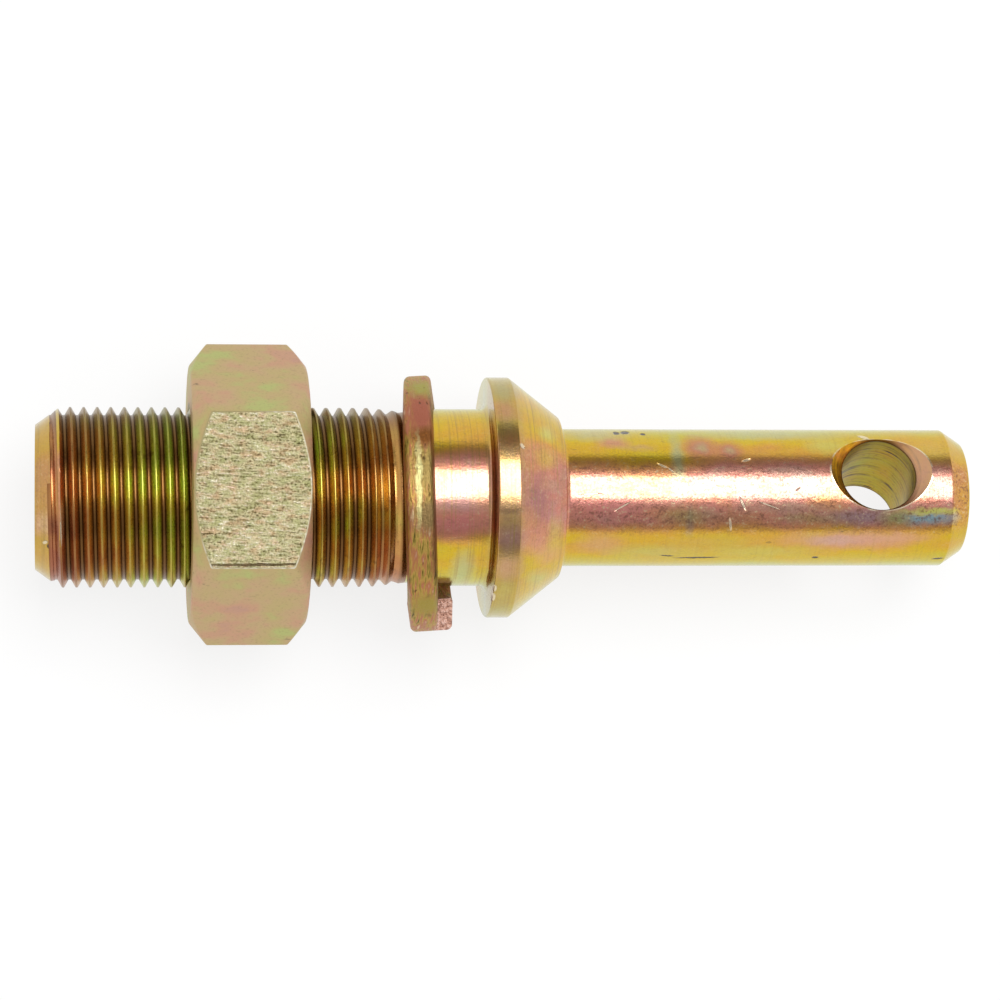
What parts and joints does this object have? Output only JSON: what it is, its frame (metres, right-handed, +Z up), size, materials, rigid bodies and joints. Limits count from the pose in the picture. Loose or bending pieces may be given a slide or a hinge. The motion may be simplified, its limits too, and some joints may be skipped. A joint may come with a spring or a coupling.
{
  "type": "lower link pin",
  "caption": "Lower link pin: a threaded shank with hex nut and split spring washer, a conical collar, and a plain journal cross drilled for a linch pin.",
  "frame": {"origin": "on the pin's axis, in the plane of the collar's back face", "axes": "+X along the pin toward the free end of the journal; +Z up as the pin lies on a flat of its nut; the washer's split is at -Y"},
  "size_m": [0.1479, 0.0477, 0.0414],
  "materials": {
    "zinc_pin": "turned steel, zinc plated with iridescent yellow chromate",
    "zinc_nut": "forged steel, zinc plated with matt yellow chromate, one flat left coarse",
    "zinc_washer": "coiled spring steel, zinc plated with yellow chromate, rough on the rim"
  },
  "bodies": {
    "pin": {"link_pin": "zinc_pin"},
    "nut": {"hex_nut": "zinc_nut"},
    "washer": {"spring_washer": "zinc_washer"}
  },
  "joints": [
    {"name": "nut_travel", "type": "slide", "parent": "pin", "child": "nut", "axis": [1, 0, 0], "range_m": [-0.04445, 0.0127]},
    {"name": "washer_slide", "type": "slide", "parent": "pin", "child": "washer", "axis": [1, 0, 0], "range_m": [-0.0015, 0.0044]}
  ]
}
